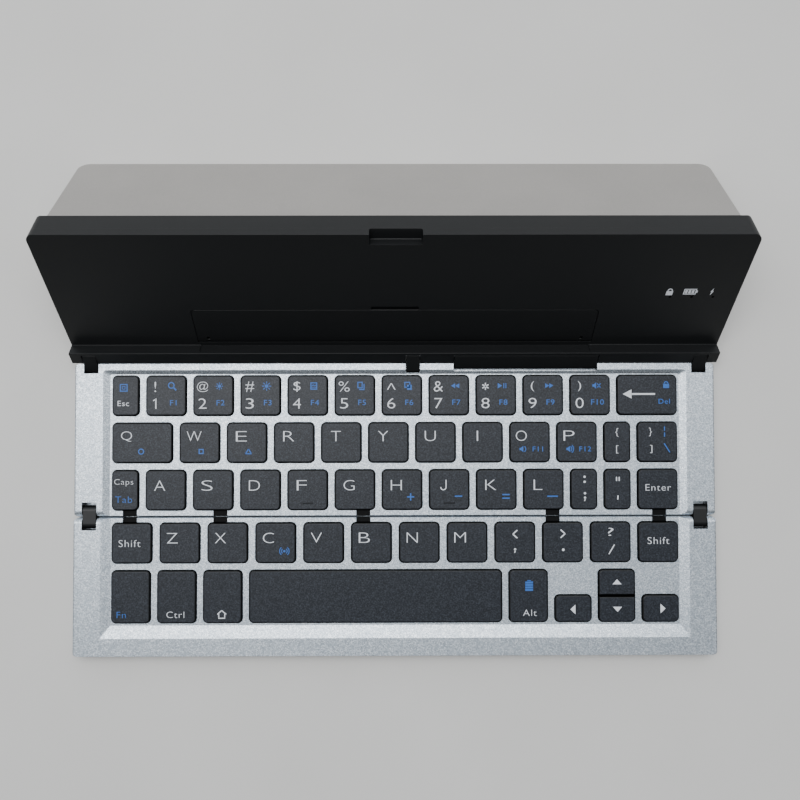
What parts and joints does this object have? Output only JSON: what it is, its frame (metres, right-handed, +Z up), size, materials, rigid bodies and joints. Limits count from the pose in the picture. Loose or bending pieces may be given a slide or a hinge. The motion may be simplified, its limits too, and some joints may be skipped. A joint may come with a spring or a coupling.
{
  "type": "tablet keyboard case",
  "caption": "Folding pocket keyboard in two hinged halves with a leaning lid, a flap that props a tablet and a kickstand plate behind it.",
  "frame": {"origin": "on the table, at the middle of the opened case's bounding box", "axes": "+X along the keyboard to the typist's right, +Y away from the typist, +Z up"},
  "size_m": [0.2186, 0.1685, 0.0418],
  "materials": {
    "silver_paint": "fine metallic satin",
    "key_plastic": "fine grain, matte",
    "black_plastic": "satin",
    "flap_plastic": "satin",
    "link_plastic": "satin",
    "inner_plastic": "matte",
    "stand_metal": "anodised, bead blasted",
    "base_metal": "anodised, bead blasted",
    "steel": "drawn",
    "rubber": "matte",
    "circuit": "laminated",
    "battery_wrap": "foil",
    "lens": "clear"
  },
  "bodies": {
    "rear_half": {"rear_deck": "silver_paint", "rear_key_frame": "inner_plastic", "rear_switch_sheet": "inner_plastic", "rear_domes": "rubber", "rear_base": "base_metal", "rear_feet": "rubber", "rear_fold_pins": "steel", "lid_lower_pins": "steel", "rear_screws": "steel"},
    "fold_links": {"fold_links": "link_plastic"},
    "front_half": {"front_deck": "silver_paint", "front_key_frame": "inner_plastic", "front_switch_sheet": "inner_plastic", "front_domes": "rubber", "front_base": "base_metal", "front_feet": "rubber", "front_fold_pins": "steel", "front_screws": "steel", "front_magnets": "steel"},
    "lid_links": {"lid_links": "link_plastic", "cable_bridge": "black_plastic", "bridge_ribbon": "circuit"},
    "lid": {"lid_front_shell": "black_plastic", "lid_back_shell": "black_plastic", "lid_upper_pins": "steel", "battery": "battery_wrap", "controller_board": "circuit", "indicator_lenses": "lens", "charging_port": "steel", "lid_screws": "steel", "lid_magnets": "steel", "kickstand_rod": "steel"},
    "kickstand": {"kickstand_plate": "stand_metal"},
    "tablet_rest": {"tablet_rest_flap": "flap_plastic"},
    "key_escape": {"key_escape": "key_plastic"},
    "keys_digits": {"keys_digits": "key_plastic"},
    "key_backspace": {"key_backspace": "key_plastic"},
    "keys_upper_letters": {"keys_upper_letters": "key_plastic"},
    "key_left_bracket": {"key_left_bracket": "key_plastic"},
    "key_right_bracket": {"key_right_bracket": "key_plastic"},
    "key_caps": {"key_caps": "key_plastic"},
    "keys_home_letters": {"keys_home_letters": "key_plastic"},
    "key_semicolon": {"key_semicolon": "key_plastic"},
    "key_quote": {"key_quote": "key_plastic"},
    "key_enter": {"key_enter": "key_plastic"},
    "key_left_shift": {"key_left_shift": "key_plastic"},
    "keys_lower_letters": {"keys_lower_letters": "key_plastic"},
    "key_comma": {"key_comma": "key_plastic"},
    "key_period": {"key_period": "key_plastic"},
    "key_slash": {"key_slash": "key_plastic"},
    "key_right_shift": {"key_right_shift": "key_plastic"},
    "key_function": {"key_function": "key_plastic"},
    "key_control": {"key_control": "key_plastic"},
    "key_home": {"key_home": "key_plastic"},
    "key_space": {"key_space": "key_plastic"},
    "key_alt": {"key_alt": "key_plastic"},
    "key_arrow_left": {"key_arrow_left": "key_plastic"},
    "key_arrow_up": {"key_arrow_up": "key_plastic"},
    "key_arrow_down": {"key_arrow_down": "key_plastic"},
    "key_arrow_right": {"key_arrow_right": "key_plastic"}
  },
  "joints": [
    {"name": "fold_lower", "type": "hinge", "parent": "rear_half", "child": "fold_links", "pos_m": [0, -0.03541, 0.0038], "axis": [-1, 0, 0], "range_deg": [0, 90]},
    {"name": "fold_upper", "type": "hinge", "parent": "fold_links", "child": "front_half", "pos_m": [0, -0.03971, 0.0038], "axis": [-1, 0, 0], "range_deg": [0, 90]},
    {"name": "lid_lower", "type": "hinge", "parent": "rear_half", "child": "lid_links", "pos_m": [0, 0.01259, 0.0039], "axis": [1, 0, 0], "range_deg": [0, 54.41]},
    {"name": "lid_upper", "type": "hinge", "parent": "lid_links", "child": "lid", "pos_m": [0, 0.01698, 0.00704], "axis": [1, 0, 0], "range_deg": [0, 75.59]},
    {"name": "kickstand_hinge", "type": "hinge", "parent": "lid", "child": "kickstand", "pos_m": [0, 0.05207, 0.0319], "axis": [-1, 0, 0], "range_deg": [0, 84]},
    {"name": "tablet_rest_hinge", "type": "hinge", "parent": "lid", "child": "tablet_rest", "pos_m": [0, 0.02241, 0.00823], "axis": [-1, 0, 0], "range_deg": [-90, 0]},
    {"name": "key_escape_press", "type": "slide", "parent": "rear_half", "child": "key_escape", "axis": [0, 0, 1], "range_m": [-0.0011, 0], "stiffness_N_per_m": 300, "springref_m": 0.001},
    {"name": "keys_digits_press", "type": "slide", "parent": "rear_half", "child": "keys_digits", "axis": [0, 0, 1], "range_m": [-0.0011, 0], "stiffness_N_per_m": 300, "springref_m": 0.001},
    {"name": "key_backspace_press", "type": "slide", "parent": "rear_half", "child": "key_backspace", "axis": [0, 0, 1], "range_m": [-0.0011, 0], "stiffness_N_per_m": 300, "springref_m": 0.001},
    {"name": "keys_upper_letters_press", "type": "slide", "parent": "rear_half", "child": "keys_upper_letters", "axis": [0, 0, 1], "range_m": [-0.0011, 0], "stiffness_N_per_m": 300, "springref_m": 0.001},
    {"name": "key_left_bracket_press", "type": "slide", "parent": "rear_half", "child": "key_left_bracket", "axis": [0, 0, 1], "range_m": [-0.0011, 0], "stiffness_N_per_m": 300, "springref_m": 0.001},
    {"name": "key_right_bracket_press", "type": "slide", "parent": "rear_half", "child": "key_right_bracket", "axis": [0, 0, 1], "range_m": [-0.0011, 0], "stiffness_N_per_m": 300, "springref_m": 0.001},
    {"name": "key_caps_press", "type": "slide", "parent": "rear_half", "child": "key_caps", "axis": [0, 0, 1], "range_m": [-0.0011, 0], "stiffness_N_per_m": 300, "springref_m": 0.001},
    {"name": "keys_home_letters_press", "type": "slide", "parent": "rear_half", "child": "keys_home_letters", "axis": [0, 0, 1], "range_m": [-0.0011, 0], "stiffness_N_per_m": 300, "springref_m": 0.001},
    {"name": "key_semicolon_press", "type": "slide", "parent": "rear_half", "child": "key_semicolon", "axis": [0, 0, 1], "range_m": [-0.0011, 0], "stiffness_N_per_m": 300, "springref_m": 0.001},
    {"name": "key_quote_press", "type": "slide", "parent": "rear_half", "child": "key_quote", "axis": [0, 0, 1], "range_m": [-0.0011, 0], "stiffness_N_per_m": 300, "springref_m": 0.001},
    {"name": "key_enter_press", "type": "slide", "parent": "rear_half", "child": "key_enter", "axis": [0, 0, 1], "range_m": [-0.0011, 0], "stiffness_N_per_m": 300, "springref_m": 0.001},
    {"name": "key_left_shift_press", "type": "slide", "parent": "front_half", "child": "key_left_shift", "axis": [0, 0, 1], "range_m": [-0.0011, 0], "stiffness_N_per_m": 300, "springref_m": 0.001},
    {"name": "keys_lower_letters_press", "type": "slide", "parent": "front_half", "child": "keys_lower_letters", "axis": [0, 0, 1], "range_m": [-0.0011, 0], "stiffness_N_per_m": 300, "springref_m": 0.001},
    {"name": "key_comma_press", "type": "slide", "parent": "front_half", "child": "key_comma", "axis": [0, 0, 1], "range_m": [-0.0011, 0], "stiffness_N_per_m": 300, "springref_m": 0.001},
    {"name": "key_period_press", "type": "slide", "parent": "front_half", "child": "key_period", "axis": [0, 0, 1], "range_m": [-0.0011, 0], "stiffness_N_per_m": 300, "springref_m": 0.001},
    {"name": "key_slash_press", "type": "slide", "parent": "front_half", "child": "key_slash", "axis": [0, 0, 1], "range_m": [-0.0011, 0], "stiffness_N_per_m": 300, "springref_m": 0.001},
    {"name": "key_right_shift_press", "type": "slide", "parent": "front_half", "child": "key_right_shift", "axis": [0, 0, 1], "range_m": [-0.0011, 0], "stiffness_N_per_m": 300, "springref_m": 0.001},
    {"name": "key_function_press", "type": "slide", "parent": "front_half", "child": "key_function", "axis": [0, 0, 1], "range_m": [-0.0011, 0], "stiffness_N_per_m": 300, "springref_m": 0.001},
    {"name": "key_control_press", "type": "slide", "parent": "front_half", "child": "key_control", "axis": [0, 0, 1], "range_m": [-0.0011, 0], "stiffness_N_per_m": 300, "springref_m": 0.001},
    {"name": "key_home_press", "type": "slide", "parent": "front_half", "child": "key_home", "axis": [0, 0, 1], "range_m": [-0.0011, 0], "stiffness_N_per_m": 300, "springref_m": 0.001},
    {"name": "key_space_press", "type": "slide", "parent": "front_half", "child": "key_space", "axis": [0, 0, 1], "range_m": [-0.0011, 0], "stiffness_N_per_m": 300, "springref_m": 0.001},
    {"name": "key_alt_press", "type": "slide", "parent": "front_half", "child": "key_alt", "axis": [0, 0, 1], "range_m": [-0.0011, 0], "stiffness_N_per_m": 300, "springref_m": 0.001},
    {"name": "key_arrow_left_press", "type": "slide", "parent": "front_half", "child": "key_arrow_left", "axis": [0, 0, 1], "range_m": [-0.0011, 0], "stiffness_N_per_m": 300, "springref_m": 0.001},
    {"name": "key_arrow_up_press", "type": "slide", "parent": "front_half", "child": "key_arrow_up", "axis": [0, 0, 1], "range_m": [-0.0011, 0], "stiffness_N_per_m": 300, "springref_m": 0.001},
    {"name": "key_arrow_down_press", "type": "slide", "parent": "front_half", "child": "key_arrow_down", "axis": [0, 0, 1], "range_m": [-0.0011, 0], "stiffness_N_per_m": 300, "springref_m": 0.001},
    {"name": "key_arrow_right_press", "type": "slide", "parent": "front_half", "child": "key_arrow_right", "axis": [0, 0, 1], "range_m": [-0.0011, 0], "stiffness_N_per_m": 300, "springref_m": 0.001}
  ],
  "couplings": [
    {"joint": "fold_upper", "follows": "fold_lower", "ratio": 1},
    {"joint": "lid_upper", "follows": "lid_lower", "ratio": 1.3891}
  ]
}
